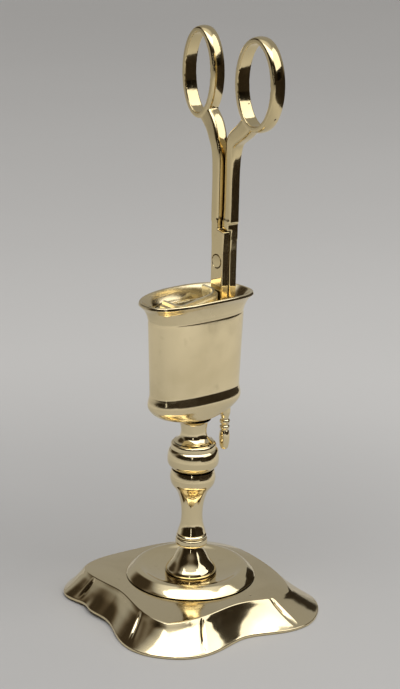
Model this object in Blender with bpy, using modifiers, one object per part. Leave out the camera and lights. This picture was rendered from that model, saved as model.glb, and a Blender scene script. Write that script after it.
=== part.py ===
"""Scissor-type wick trimmer (candle snuffers) standing in its own brass socket stand.

World frame: metres, +Z up, z = 0 under the base. X is the long axis of the oval
socket, Y its short axis. The trimmer stands at the +X end of the socket, tip down,
and its two arms open in the Y-Z plane.
"""
import math

import bmesh
import bpy
from mathutils import Euler, Matrix, Vector

MM = 0.001
GAP = 0.3                      # clearance between touching pieces

# ---- driving dimensions, in millimetres -------------------------------------
# base
LOBE_RADIUS = 47.8             # base outline on a diagonal
SIDE_RADIUS = 36.4             # base outline at the middle of a side
LOBE_POWER = 2.8               # how square-shouldered the lobes are
BASE_TURN = math.radians(-4)   # the base is screwed on slightly off square
PLEAT_ANGLE = 18               # degrees each side of a diagonal
PLEAT_DEPTH = 0.9
BASE_STEPS = 120               # one vertex every 3 degrees
RIDGE_LOBE = (36.8, 8.4)       # radius and height of the flank's top edge on a diagonal
RIDGE_SIDE = (29.6, 11.0)      # and at the middle of a side
RIDGE_POWER = 1.3
LOBE_BULGE = 0.4               # the flank is fuller on the lobes
DOME_RADIUS = 23.8
DECK_Z = 11.4                  # top of the base plate under the dome
BASE_WALL = 2.2

# stem
ROD_RADIUS = 1.5
BORE_RADIUS = ROD_RADIUS + 0.4
DOME_FOOT_Z = DECK_Z + GAP
COLLAR_Z = 23.3
KNOP_Z = 53.2
NECK_Z = 63.9
SOCKET_Z = 72.6

# socket
FLOOR_Z = 77.0
RIM_Z = 119.1
RIM_SAG = 1.0                  # the lip is lower at the two narrow ends
SOCKET_STEPS = 60

# trimmer
FRONT_FACE_X = 8.5             # outer face of the front (box) blade
LAP_THICKNESS = 3.15           # each half of the lapped joint
REAR_FACE_X = FRONT_FACE_X + 2 * LAP_THICKNESS + GAP
MID_X = (FRONT_FACE_X + REAR_FACE_X) / 2
PIVOT_Z = 129.5
SHOULDER_RADIUS = 11.5         # the arms' shoulders are arcs about the pivot
STUB_TOP = PIVOT_Z + 15        # where the lap plates run out into the shanks
LAP_HALF_WIDTH = 3.6
RIVET_RADIUS = 2.4
LOOP_Z = 194.3
LOOP_HALF_HEIGHT = 16.4
LOOP_BAND = 2.3
LOOP_HALF_DEPTH = 2.7
LEFT_LOOP = (14.2, 9.5)        # centre Y and outer half width
RIGHT_LOOP = (-16.9, 10.9)
TOE_TOP = 79.3
TIP_X = 12.7
TIP_Y = -1.9
TIP_END_Z = 58.2
TANG_RADIUS = 0.6
TIP_HOLE_RADIUS = 2.3          # hole in the socket's floor that the tip drops through

# the wick box and the plate that presses the wick into it
BOX_LEFT_X = -12.2
BOX_RIGHT_X = FRONT_FACE_X - GAP
BOX_FRONT_Y = -5.7
BOX_MOUTH_Y = 0.9
BOX_COLLAR_Y = 5.2
BOX_WALL = 1.2
BOX_LIP = 2.0
BOX_CORNER = 4.0
BOX_BOTTOM_Z = 84.0
BOX_COLLAR_Z = 109.2
BOX_TOP_Z = 118.4
BOX_TILT = 0.18                # the rim rises towards the arm
PRESS_Y = BOX_MOUTH_Y + GAP
PRESS_THICKNESS = 1.0
PRESS_RIGHT_X = 14.6
PRESS_LOW_Z = 88.0
PRESS_HIGH_Z = 106.0

# rivets of the box and of the press plate
LEVELS = ("lower", "upper")
BOX_RIVET_RADIUS = 0.8
BOX_RIVET_Y = -0.6
BOX_RIVET_Z = (91.0, 103.0)
PRESS_RIVET_RADIUS = 0.6
PRESS_RIVET_X = 13.4
PRESS_RIVET_Z = (92.0, 101.0)

# the two lapped plates along X
FRONT_X = (FRONT_FACE_X, FRONT_FACE_X + LAP_THICKNESS)
REAR_X = (REAR_FACE_X - LAP_THICKNESS, REAR_FACE_X)

BRASS = (0.76, 0.60, 0.30, 1.0)
DARK_BRASS = (0.52, 0.40, 0.20, 1.0)
STEEL = (0.45, 0.44, 0.42, 1.0)


# ---- scene and helpers ------------------------------------------------------
def clear_scene():
    for item in list(bpy.data.objects):
        bpy.data.objects.remove(item, do_unlink=True)


def new_collection(name):
    group = bpy.data.collections.new(name)
    bpy.context.scene.collection.children.link(group)
    return group


clear_scene()
PARTS = new_collection("wick_trimmer")
CUTTERS = new_collection("cutters")


def empty(name, parent, place):
    """An empty that carries a body; place is in millimetres in the world."""
    item = bpy.data.objects.new(name, None)
    item.empty_display_size = 0.01
    PARTS.objects.link(item)
    item.location = Vector(place) * MM
    if parent:
        item.parent = parent
        item.location -= world_place(parent)
    return item


def world_place(item):
    """World position of an unrotated chain of parents."""
    place = Vector(item.location)
    while item.parent:
        item = item.parent
        place += item.location
    return place


def brass_material(name, colour, roughness):
    material = bpy.data.materials.new(name)
    material.use_nodes = True
    shader = material.node_tree.nodes["Principled BSDF"]
    shader.inputs["Base Color"].default_value = colour
    shader.inputs["Metallic"].default_value = 1.0
    shader.inputs["Roughness"].default_value = roughness
    material.diffuse_color = colour
    return material


def add_mesh(name, bm, group):
    bmesh.ops.recalc_face_normals(bm, faces=bm.faces[:])
    mesh = bpy.data.meshes.new(name)
    bm.to_mesh(mesh)
    bm.free()
    item = bpy.data.objects.new(name, mesh)
    group.objects.link(item)
    return item


def as_cutter(item):
    item.hide_render = True
    item.display_type = "WIRE"
    return item


def as_part(item, parent, colour=BRASS, roughness=0.22):
    """Give the piece its material and hang it on its body's empty."""
    item.data.materials.append(brass_material(item.name, colour, roughness))
    item.location -= world_place(parent)
    item.parent = parent
    return item


def combine(item, tool, operation):
    modifier = item.modifiers.new(f"{operation.lower()}_{tool.name}", "BOOLEAN")
    modifier.operation = operation
    modifier.solver = "EXACT"
    modifier.object = tool


def loft(name, rings, group, closed):
    """Skin rings of equal length; closed joins the last ring to the first."""
    bm = bmesh.new()
    loops = [[bm.verts.new(Vector(point) * MM) for point in ring] for ring in rings]
    pairs = list(zip(loops, loops[1:]))
    if closed:
        pairs.append((loops[-1], loops[0]))
    for low, high in pairs:
        count = len(low)
        for k in range(count):
            bm.faces.new((low[k], low[(k + 1) % count], high[(k + 1) % count], high[k]))
    if not closed:
        bm.faces.new(loops[0])
        bm.faces.new(loops[-1])
    return add_mesh(name, bm, group)


def turned(name, profile, group, steps=36, bore=True):
    """Screw a profile of (radius, z) points round the Z axis; without a bore it ends on the axis."""
    bm = bmesh.new()
    verts = [bm.verts.new((r * MM, 0, z * MM)) for r, z in profile]
    for a, b in zip(verts, verts[1:]):
        bm.edges.new((a, b))
    if bore:
        bm.edges.new((verts[-1], verts[0]))
    mesh = bpy.data.meshes.new(name)
    bm.to_mesh(mesh)
    bm.free()
    item = bpy.data.objects.new(name, mesh)
    group.objects.link(item)
    screw = item.modifiers.new("turn", "SCREW")
    screw.axis = "Z"
    screw.steps = steps
    screw.render_steps = steps
    screw.use_merge_vertices = True
    screw.merge_threshold = 0.00001
    return item


def bored(outer, top, bottom, radius=BORE_RADIUS):
    """Close an outer profile, given top to bottom, with a plain bore."""
    return outer + [(radius, bottom), (radius, top)]


def rod_along(name, axis, radius, start, end, place, group, steps=24):
    """A cylinder along X, Y or Z between two coordinates on that axis."""
    bm = bmesh.new()
    bmesh.ops.create_cone(bm, cap_ends=True, segments=steps, radius1=radius * MM,
                          radius2=radius * MM, depth=(end - start) * MM)
    item = add_mesh(name, bm, group)
    turn = {"X": (0, math.pi / 2, 0), "Y": (math.pi / 2, 0, 0), "Z": (0, 0, 0)}[axis]
    item.data.transform(Euler(turn).to_matrix().to_4x4())
    centre = list(place)
    centre["XYZ".index(axis)] = (start + end) / 2
    item.data.transform(Matrix.Translation(Vector(centre) * MM))
    return item


def block(name, low, high, group):
    bm = bmesh.new()
    bmesh.ops.create_cube(bm, size=1)
    size = [(b - a) * MM for a, b in zip(low, high)]
    centre = [(a + b) / 2 * MM for a, b in zip(low, high)]
    bmesh.ops.scale(bm, vec=size, verts=bm.verts[:])
    bmesh.ops.translate(bm, vec=centre, verts=bm.verts[:])
    return add_mesh(name, bm, group)


def plate_in_yz(name, outline, x_low, x_high, group):
    """Extrude an outline of (y, z) points along X."""
    rings = [[(x, y, z) for y, z in outline] for x in (x_low, x_high)]
    return loft(name, rings, group, closed=False)


def plate_in_xy(name, outline, z_low, z_high, group):
    rings = [[(x, y, z) for x, y in outline] for z in (z_low, z_high)]
    return loft(name, rings, group, closed=False)


def arc(centre, radius, start, end, steps):
    """Points on an arc, angles in degrees."""
    points = []
    for k in range(steps + 1):
        angle = math.radians(start + (end - start) * k / steps)
        points.append((centre[0] + radius * math.cos(angle), centre[1] + radius * math.sin(angle)))
    return points


def blend_path(points, steps):
    """Catmull-Rom curve through points of any dimension."""
    padded = [points[0]] + list(points) + [points[-1]]
    result = []
    for p0, p1, p2, p3 in zip(padded, padded[1:], padded[2:], padded[3:]):
        for k in range(steps):
            t = k / steps
            result.append(tuple(
                0.5 * (2 * b + (c - a) * t + (2 * a - 5 * b + 4 * c - d) * t ** 2
                       + (3 * b - a - 3 * c + d) * t ** 3)
                for a, b, c, d in zip(p0, p1, p2, p3)))
    return result + [tuple(points[-1])]


# ---- stand ------------------------------------------------------------------
def outline(step):
    """Bottom radius, ridge radius, ridge height and angle off the nearest diagonal."""
    degrees = step * 360 / BASE_STEPS
    off = (degrees + 45) % 90 - 45
    dip = abs(math.sin(math.radians(2 * off)))
    bottom = LOBE_RADIUS - (LOBE_RADIUS - SIDE_RADIUS) * dip ** LOBE_POWER
    ridge, top = (a + (b - a) * dip ** RIDGE_POWER for a, b in zip(RIDGE_LOBE, RIDGE_SIDE))
    return bottom, ridge, top, off


def at_step(radius, step, z):
    angle = math.radians(45 + step * 360 / BASE_STEPS) + BASE_TURN
    return (radius * math.cos(angle), radius * math.sin(angle), z)


def flank_ring(share, height, inset=0.0):
    """Ring on the flank: share 0 is the ridge, 1 the bottom outline; height is a share too."""
    ring = []
    for step in range(BASE_STEPS):
        bottom, ridge, top, off = outline(step)
        radius = ridge + (bottom - ridge) * share - inset
        radius += LOBE_BULGE * math.cos(math.radians(2 * off)) ** 2 * math.sin(math.pi * height) ** 2
        if abs(abs(off) - PLEAT_ANGLE) < 1 and inset == 0:
            radius -= PLEAT_DEPTH * math.sin(math.pi * min(1, 1.15 * (1 - height)))
        ring.append(at_step(radius, step, top * height))
    return ring


def deck_ring(blend, drop=0.0, inset=0.0):
    """Ring on the deck between the ridge (blend 0) and the dome's edge (blend 1)."""
    ring = []
    for step in range(BASE_STEPS):
        ridge, top = outline(step)[1:3]
        radius = ridge - inset + (DOME_RADIUS - ridge + inset) * blend
        rise = (DECK_Z - top) * math.sin(math.pi / 2 * blend)
        ring.append(at_step(radius, step, top + rise - drop))
    return ring


def round_ring(radius, z, steps=BASE_STEPS, turn=math.radians(45) + BASE_TURN):
    return [(radius * math.cos(turn + math.tau * k / steps),
             radius * math.sin(turn + math.tau * k / steps), z) for k in range(steps)]


def base_plate():
    """Cast plate: lip, concave flank with pleats, rounded ridge, sloping deck, hollow below."""
    rings = [
        flank_ring(1.00, 0.00),
        flank_ring(1.00, 0.10),
        flank_ring(0.92, 0.16),
        flank_ring(0.74, 0.34),
        flank_ring(0.50, 0.56),
        flank_ring(0.24, 0.80),
        flank_ring(0.07, 0.955),
        deck_ring(0.05),
        deck_ring(0.30),
        deck_ring(1.00),
        round_ring(BORE_RADIUS, DECK_Z),
        round_ring(BORE_RADIUS, DECK_Z - BASE_WALL),
        deck_ring(1.00, drop=BASE_WALL),
        deck_ring(0.10, drop=BASE_WALL, inset=1.2),
        flank_ring(0.55, 0.55, inset=2.2),
        flank_ring(0.80, 0.12, inset=2.4),
        flank_ring(0.82, 0.00, inset=2.2),
    ]
    return loft("base_plate", rings, PARTS, closed=True)


def base_dome():
    dish = [(9.4, 12.75), (10.6, 12.9), (13.0, 13.3), (16.2, 14.0)]
    moulding = [(18.4, 14.85), (19.4, 15.0), (20.6, 14.65), (22.0, 13.6), (23.2, 12.5)]
    outer = blend_path(dish, 3) + blend_path(moulding, 3) + [(DOME_RADIUS, DOME_FOOT_Z)]
    top = dish[0][1]
    profile = [(BORE_RADIUS, top)] + outer + [(BORE_RADIUS, DOME_FOOT_Z)]
    return turned("base_dome", profile, PARTS, steps=60)


def stem_foot():
    bell = blend_path([(4.1, COLLAR_Z - GAP), (4.5, 21.8), (5.9, 19.2), (7.0, 17.2), (8.1, 15.6),
                       (9.0, 14.4), (9.2, 13.7), (8.8, 13.15)], 3)
    low = DOME_FOOT_Z + 1.35
    profile = bored(bell + [(8.2, low)], COLLAR_Z - GAP, low)
    return turned("stem_foot", profile, PARTS)


def stem_baluster():
    collar = [(5.0, 27.6), (5.45, 27.2), (5.5, 26.7), (5.3, 26.3), (5.75, 25.9), (5.9, 24.6),
              (5.7, 23.7), (4.6, COLLAR_Z)]
    pear = blend_path([(8.1, 51.6), (8.3, 49.6), (7.7, 47.3), (5.6, 44.2), (4.3, 40.0),
                       (3.9, 35.8), (4.35, 31.6), (5.0, 28.0)], 3)
    outer = [(7.0, KNOP_Z - GAP), (7.9, 52.6), (7.9, 51.9)] + pear + collar
    return turned("stem_baluster", bored(outer, KNOP_Z - GAP, COLLAR_Z), PARTS)


def stem_knop():
    ball = blend_path([(8.2, 60.6), (9.1, 59.0), (9.4, 56.9), (8.9, 54.7), (7.4, KNOP_Z)], 3)
    outer = [(6.2, NECK_Z - GAP), (7.6, 62.9), (8.1, 61.9), (7.9, 61.0)] + ball
    return turned("stem_knop", bored(outer, NECK_Z - GAP, KNOP_Z), PARTS)


def stem_neck():
    outer = blend_path([(6.2, SOCKET_Z - GAP), (5.3, 71.2), (4.8, 69.0), (4.9, 66.5), (5.9, 64.4),
                        (6.1, NECK_Z)], 3)
    return turned("stem_neck", bored(outer, SOCKET_Z - GAP, NECK_Z), PARTS)


def oval_ring(half_x, half_y, z, power=2.5, sag=0.0):
    ring = []
    for k in range(SOCKET_STEPS):
        angle = math.tau * k / SOCKET_STEPS
        c, s = math.cos(angle), math.sin(angle)
        x = half_x * math.copysign(abs(c) ** (2 / power), c)
        y = half_y * math.copysign(abs(s) ** (2 / power), s)
        ring.append((x, y, z - sag * RIM_SAG * (x / half_x) ** 2))
    return ring


def socket_body():
    """One casting: rounded underside, slightly tapered oval wall, groove and flared lip."""
    under = [(BORE_RADIUS, BORE_RADIUS, SOCKET_Z, 2, 0), (5.8, 5.4, SOCKET_Z, 2, 0),
             (10.6, 6.4, 73.5, 2.2, 0), (15.0, 7.1, 75.0, 2.4, 0), (17.5, 7.9, 76.8, 2.5, 0)]
    wall = [(18.8, 8.75, 78.6, 2.5, 0), (19.05, 9.0, 80.4, 2.5, 0), (18.6, 8.45, 82.8, 2.5, 0),
            (18.5, 8.3, 84.6, 2.5, 0), (18.8, 8.4, 93.0, 2.5, 0), (19.5, 8.65, 110.6, 2.5, 0),
            (19.2, 8.4, 111.2, 2.5, 0), (19.6, 8.8, 111.9, 2.5, 0)]
    flare = [(20.0, 9.3, 113.8, 2.5, 0.3), (21.1, 10.3, 116.0, 2.5, 0.7), (22.3, 11.5, 117.6, 2.5, 1),
             (22.8, 12.0, 118.4, 2.5, 1), (22.6, 11.8, 118.95, 2.5, 1), (22.1, 11.3, RIM_Z, 2.5, 1)]
    inside = [(21.5, 10.7, 118.7, 2.5, 1), (20.0, 9.2, 117.0, 2.5, 0.8), (18.7, 8.0, 114.6, 2.5, 0.4),
              (18.0, 7.3, 111.6, 2.5, 0), (17.1, 7.0, 92.0, 2.5, 0), (16.5, 6.7, 82.0, 2.5, 0),
              (16.2, 6.5, 78.2, 2.5, 0), (15.7, 6.2, FLOOR_Z, 2.5, 0), (6.0, 3.4, FLOOR_Z, 2.2, 0),
              (BORE_RADIUS, BORE_RADIUS, FLOOR_Z, 2, 0)]
    rings = [oval_ring(*ring) for ring in under + wall + flare + inside]
    body = loft("socket_body", rings, PARTS, closed=True)
    hole = rod_along("tip_hole", "Z", TIP_HOLE_RADIUS, SOCKET_Z - 5, FLOOR_Z + 1, (TIP_X, TIP_Y, 0),
                     CUTTERS)
    combine(body, as_cutter(hole), "DIFFERENCE")
    return body


def hexagon(radius):
    return [(radius * math.cos(math.radians(60 * k)), radius * math.sin(math.radians(60 * k)))
            for k in range(6)]


def nut(name, z_low, z_high, across_corners):
    item = plate_in_xy(name, hexagon(across_corners / 2), z_low, z_high, PARTS)
    hole = rod_along(f"{name}_hole", "Z", BORE_RADIUS, z_low - 1, z_high + 1, (0, 0, 0), CUTTERS)
    combine(item, as_cutter(hole), "DIFFERENCE")
    return item


def tie_rod(low, high):
    return rod_along("tie_rod", "Z", ROD_RADIUS, low, high, (0, 0, 0), PARTS)


def build_stand():
    stand = empty("stand", None, (0, 0, 0))
    for piece in (base_plate(), base_dome(), stem_foot(), stem_baluster(), stem_knop(),
                  stem_neck(), socket_body()):
        as_part(piece, stand)
    under = DECK_Z - BASE_WALL - GAP
    washer = turned("rod_washer", [(BORE_RADIUS, under), (5.0, under), (5.0, under - 1),
                                   (BORE_RADIUS, under - 1)], PARTS, steps=24)
    as_part(washer, stand, DARK_BRASS, 0.4)
    nut_top = under - 1 - GAP
    as_part(nut("rod_nut", nut_top - 3, nut_top, 8.0), stand, STEEL, 0.4)
    as_part(nut("socket_nut", FLOOR_Z + GAP, FLOOR_Z + GAP + 2.6, 7.0), stand, DARK_BRASS, 0.35)
    as_part(tie_rod(nut_top - 4.2, FLOOR_Z + 3.8), stand, STEEL, 0.4)
    return stand


# ---- trimmer ----------------------------------------------------------------
def loop_band(name, centre_y, half_width):
    """Oval finger loop: flat inside, rounded outside."""
    rings = []
    for k in range(56):
        angle = math.tau * k / 56
        out = Vector((0, math.cos(angle) / half_width, math.sin(angle) / LOOP_HALF_HEIGHT))
        out.normalize()
        foot = Vector((MID_X, centre_y + half_width * math.cos(angle),
                       LOOP_Z + LOOP_HALF_HEIGHT * math.sin(angle)))
        section = [(-1, -LOOP_BAND), (-1, -0.9), (-0.7, -0.25), (0, 0), (0.7, -0.25), (1, -0.9),
                   (1, -LOOP_BAND), (0, -LOOP_BAND)]
        rings.append([foot + Vector((side * LOOP_HALF_DEPTH, 0, 0)) + out * depth
                      for side, depth in section])
    return loft(name, rings, CUTTERS, closed=True)


def shank(name, stations):
    """Sweep a rounded section along (y, z, half width, half thickness) stations."""
    path = blend_path(stations, 4)
    rings = []
    for k, (y, z, wide, thick) in enumerate(path):
        before = path[max(k - 1, 0)]
        after = path[min(k + 1, len(path) - 1)]
        along = Vector((0, after[0] - before[0], after[1] - before[1])).normalized()
        across = along.cross(Vector((1, 0, 0)))
        ring = []
        for step in range(16):
            angle = math.tau * (step + 0.5) / 16
            c, s = math.cos(angle), math.sin(angle)
            c = math.copysign(abs(c) ** 0.62, c)
            s = math.copysign(abs(s) ** 0.62, s)
            ring.append(Vector((MID_X, y, z)) + Vector((1, 0, 0)) * thick * c + across * wide * s)
        rings.append(ring)
    return loft(name, rings, CUTTERS, closed=False)


def arm_stations(side, loop):
    """Centre line of an arm from its loop to the shoulder; side is +1 or -1 in Y."""
    reach = abs(loop[0]) - 3.4
    return [(side * reach, 180.9, 3.3, 2.5), (side * (reach - 3.6), 177.6, 3.1, 2.8),
            (side * 4.5, 173.4, 2.7, 3.1), (side * 2.75, 168.6, 2.3, 3.3),
            (side * 2.25, 161.0, 2.05, 3.3), (side * 2.25, 150.0, 2.05, 3.3),
            (side * 2.25, STUB_TOP - 1, 2.05, 3.3)]


def mirrored(outline, side):
    return [(side * y, z) for y, z in outline]


def lap_outline(side, below):
    """Half of the lapped joint: rises to its own arm on +side, rounded shoulder on the other."""
    start = math.degrees(math.acos(0.15 / SHOULDER_RADIUS))
    end = 180 - math.degrees(math.acos((LAP_HALF_WIDTH - 0.2) / SHOULDER_RADIUS))
    shoulder = arc((0, PIVOT_Z), SHOULDER_RADIUS, start, end, 6)
    upper = [(LAP_HALF_WIDTH - 0.3, PIVOT_Z + 6), (LAP_HALF_WIDTH - 0.05, SHOULDER_RADIUS + PIVOT_Z),
             (LAP_HALF_WIDTH, STUB_TOP), (0.3, STUB_TOP)]
    return mirrored(upper, side) + mirrored(shoulder, side) + below


def stub_outline(side):
    """The part of an arm above the other arm's shoulder."""
    radius = SHOULDER_RADIUS + GAP
    start = math.degrees(math.acos(LAP_HALF_WIDTH / radius))
    end = math.degrees(math.acos(0.2 / radius))
    top = [(0.3, STUB_TOP), (LAP_HALF_WIDTH, STUB_TOP)]
    return mirrored(top + arc((0, PIVOT_Z), radius, start, end, 6), side)


def arm(name, side, loop, plate_x, stub_x, below):
    """A forged arm: loop, shank, lap plate with blade, and the stub over the other shoulder."""
    body = plate_in_yz(name, lap_outline(side, below), *plate_x, PARTS)
    for tool in (plate_in_yz(f"{name}_stub", stub_outline(side), *stub_x, CUTTERS),
                 shank(f"{name}_shank", arm_stations(side, loop)),
                 loop_band(f"{name}_loop", *loop)):
        combine(body, as_cutter(tool), "UNION")
    hole = rod_along(f"{name}_pivot_hole", "X", RIVET_RADIUS + GAP, FRONT_FACE_X - 5, REAR_FACE_X + 5,
                     (0, 0, PIVOT_Z), CUTTERS)
    combine(body, as_cutter(hole), "DIFFERENCE")
    return body


def bore_box_rivets(item):
    """Holes for the two rivets that hold the box's wall to its arm."""
    for level, z in zip(LEVELS, BOX_RIVET_Z):
        hole = rod_along(f"{item.name}_hole_{level}", "X", BOX_RIVET_RADIUS + GAP, BOX_RIGHT_X - 5,
                         REAR_FACE_X + 5, (0, BOX_RIVET_Y, z), CUTTERS, steps=16)
        combine(item, as_cutter(hole), "DIFFERENCE")


def bore_press_rivets(item):
    """Holes for the two rivets that hold the press plate to its arm."""
    for level, z in zip(LEVELS, PRESS_RIVET_Z):
        hole = rod_along(f"{item.name}_hole_{level}", "Y", PRESS_RIVET_RADIUS + GAP, -1.6,
                         PRESS_Y + PRESS_THICKNESS + 1, (PRESS_RIVET_X, 0, z), CUTTERS, steps=16)
        combine(item, as_cutter(hole), "DIFFERENCE")


def box_arm():
    below = [(-3.2, PIVOT_Z + 4), (-3.2, 116.5), (-3.2, 104.0), (-3.0, 84.0), (-3.0, FLOOR_Z + GAP),
             (0.3, FLOOR_Z + GAP), (0.5, 84.0), (BOX_MOUTH_Y, 90.0), (BOX_MOUTH_Y, 107.5),
             (3.2, 115.5), (3.2, PIVOT_Z + 4)]
    body = arm("box_arm", 1, LEFT_LOOP, FRONT_X, REAR_X, below)
    toe = block("box_arm_toe", (FRONT_FACE_X + 1, -3.0, FLOOR_Z + GAP), (TIP_X + 1.2, 0.3, TOE_TOP),
                CUTTERS)
    combine(body, as_cutter(toe), "UNION")
    tang = rod_along("tip_tang_hole", "Z", TANG_RADIUS + GAP, FLOOR_Z - 5, TOE_TOP + 5, (TIP_X, TIP_Y, 0),
                     CUTTERS, steps=16)
    combine(body, as_cutter(tang), "DIFFERENCE")
    bore_box_rivets(body)
    return body


def press_arm():
    below = [(3.2, PIVOT_Z + 4), (3.2, 116.5), (BOX_MOUTH_Y, 107.5), (BOX_MOUTH_Y, 88.0), (0.3, 80.1),
             (-2.6, 80.1), (-2.8, 88.0), (-3.0, 108.0), (-3.2, 116.5), (-3.2, PIVOT_Z + 4)]
    body = arm("press_arm", -1, RIGHT_LOOP, REAR_X, FRONT_X, below)
    bore_press_rivets(body)
    return body


def box_outline(outset, inset, arm_y):
    """U-shaped strip, open to +Y: outer run forward, inner run back, each set in from the wall."""
    left_corner = (BOX_LEFT_X + BOX_CORNER, BOX_FRONT_Y + BOX_CORNER)
    right_corner = (BOX_RIGHT_X - BOX_CORNER, BOX_FRONT_Y + BOX_CORNER)
    runs = []
    for shift in (outset, inset):
        radius = BOX_CORNER - shift
        run = [(BOX_LEFT_X + shift, arm_y)] + arc(left_corner, radius, 180, 270, 6)
        run += arc(right_corner, radius, 270, 360, 6) + [(BOX_RIGHT_X - shift, arm_y)]
        runs.append(run)
    return runs[0] + runs[1][::-1]


def box_wall():
    """Bent wall; its rim thickens inwards, has one step and rises towards the arm."""
    levels = [(BOX_BOTTOM_Z, 0, BOX_WALL, 0), (BOX_TOP_Z - 4.5, 0, BOX_WALL, BOX_TILT),
              (BOX_TOP_Z - 3.1, 0, BOX_LIP, BOX_TILT), (BOX_TOP_Z - 0.6, 0, BOX_LIP, BOX_TILT),
              (BOX_TOP_Z - 0.4, 0.9, BOX_LIP, BOX_TILT), (BOX_TOP_Z, 1.0, BOX_LIP, BOX_TILT)]
    middle = (BOX_LEFT_X + BOX_RIGHT_X) / 2
    rings = [[(x, y, z + tilt * (x - middle)) for x, y in box_outline(outset, inset, BOX_COLLAR_Y)]
             for z, outset, inset, tilt in levels]
    wall = loft("box_wall", rings, PARTS, closed=False)
    mouth = block("box_mouth", (BOX_LEFT_X - 5, BOX_MOUTH_Y, BOX_BOTTOM_Z - 5),
                  (BOX_RIGHT_X + 5, BOX_COLLAR_Y + 5, BOX_COLLAR_Z), CUTTERS)
    combine(wall, as_cutter(mouth), "DIFFERENCE")
    bore_box_rivets(wall)
    return wall


def box_end_plate():
    strip = box_outline(0, BOX_WALL, BOX_MOUTH_Y)
    outer = strip[:len(strip) // 2]
    return plate_in_xy("box_end_plate", outer, BOX_BOTTOM_Z - GAP - BOX_WALL, BOX_BOTTOM_Z - GAP, PARTS)


def headed_rivet(name, axis, place, shank, head):
    """A rivet along an axis; shank and head are (radius, start, end)."""
    rivet = rod_along(name, axis, *shank, place, PARTS, steps=16)
    cap = rod_along(f"{name}_head", axis, *head, place, CUTTERS, steps=16)
    combine(rivet, as_cutter(cap), "UNION")
    return rivet


def tip_finial():
    """Small turned point: tang, shoulder, two grooves and a rounded end."""
    tang_top = TOE_TOP - GAP
    outer = [(0, tang_top), (TANG_RADIUS, tang_top), (TANG_RADIUS, FLOOR_Z), (1.75, FLOOR_Z),
             (1.75, 69.6), (1.3, 69.0), (1.75, 68.4), (1.75, 66.9), (1.2, 66.2), (1.8, 65.4)]
    outer += blend_path([(1.9, 63.4), (1.8, 61.0), (1.4, 59.0), (0.7, TIP_END_Z + 0.15),
                         (0, TIP_END_Z)], 3)
    item = turned("tip_finial", outer, PARTS, steps=20, bore=False)
    item.location = Vector((TIP_X, TIP_Y, 0)) * MM
    return item


def fixed_to_box():
    """The box arm and everything that stays with it."""
    pieces = [box_arm(), box_wall(), box_end_plate(), tip_finial()]
    head_x = BOX_RIGHT_X - BOX_WALL - GAP
    for level, z in zip(LEVELS, BOX_RIVET_Z):
        pieces.append(headed_rivet(f"box_rivet_{level}", "X", (0, BOX_RIVET_Y, z),
                                   (BOX_RIVET_RADIUS, head_x - 0.5, FRONT_X[1] - 0.15),
                                   (1.5, head_x - 0.8, head_x)))
    pieces.append(rod_along("pivot_rivet", "X", RIVET_RADIUS, FRONT_FACE_X - 0.1, REAR_FACE_X + 0.1,
                            (0, 0, PIVOT_Z), PARTS, steps=32))
    return pieces


def press_plate():
    plate = block("press_plate", (BOX_LEFT_X, PRESS_Y, PRESS_LOW_Z),
                  (PRESS_RIGHT_X, PRESS_Y + PRESS_THICKNESS, PRESS_HIGH_Z), PARTS)
    bore_press_rivets(plate)
    return plate


def fixed_to_press():
    """The press arm and everything that swings with it."""
    pieces = [press_arm(), press_plate()]
    head_y = PRESS_Y + PRESS_THICKNESS + GAP
    for level, z in zip(LEVELS, PRESS_RIVET_Z):
        pieces.append(headed_rivet(f"press_rivet_{level}", "Y", (PRESS_RIVET_X, 0, z),
                                   (PRESS_RIVET_RADIUS, -1.2, head_y + 0.3),
                                   (1.2, head_y, head_y + 0.5)))
    return pieces


def build_trimmer(stand):
    """The trimmer lifts out of the socket; the press side swings about the rivet."""
    pivot = (MID_X, 0, PIVOT_Z)
    lift = empty("trimmer_lift", stand, pivot)
    swing = empty("trimmer_pivot", lift, pivot)
    for piece in fixed_to_box():
        as_part(piece, lift)
    for piece in fixed_to_press():
        as_part(piece, swing)


build_trimmer(build_stand())
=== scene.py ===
"""Looks for the brass wick trimmer standing in its own socket stand.

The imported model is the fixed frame. Every piece that shows is made again here with a fine
surface on the same dimensions, and gets a procedural brass. Lengths in the tables below
are millimetres; X is the long axis of the socket, Y its short axis, z = 0 the floor.
"""
import math

import bmesh
import bpy
from mathutils import Matrix, Vector


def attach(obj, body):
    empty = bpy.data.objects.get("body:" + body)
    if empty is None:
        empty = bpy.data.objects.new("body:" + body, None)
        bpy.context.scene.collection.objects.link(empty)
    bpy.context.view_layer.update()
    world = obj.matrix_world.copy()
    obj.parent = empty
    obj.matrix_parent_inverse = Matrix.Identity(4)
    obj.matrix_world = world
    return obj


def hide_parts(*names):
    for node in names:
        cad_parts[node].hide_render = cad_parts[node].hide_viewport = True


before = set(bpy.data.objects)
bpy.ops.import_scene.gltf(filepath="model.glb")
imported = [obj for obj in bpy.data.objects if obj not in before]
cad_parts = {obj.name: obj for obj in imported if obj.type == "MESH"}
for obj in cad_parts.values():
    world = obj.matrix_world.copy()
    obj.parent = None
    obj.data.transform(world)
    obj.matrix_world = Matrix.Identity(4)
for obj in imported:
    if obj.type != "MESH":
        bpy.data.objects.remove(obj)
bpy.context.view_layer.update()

MM = 0.001
GAP = 0.3

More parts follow.
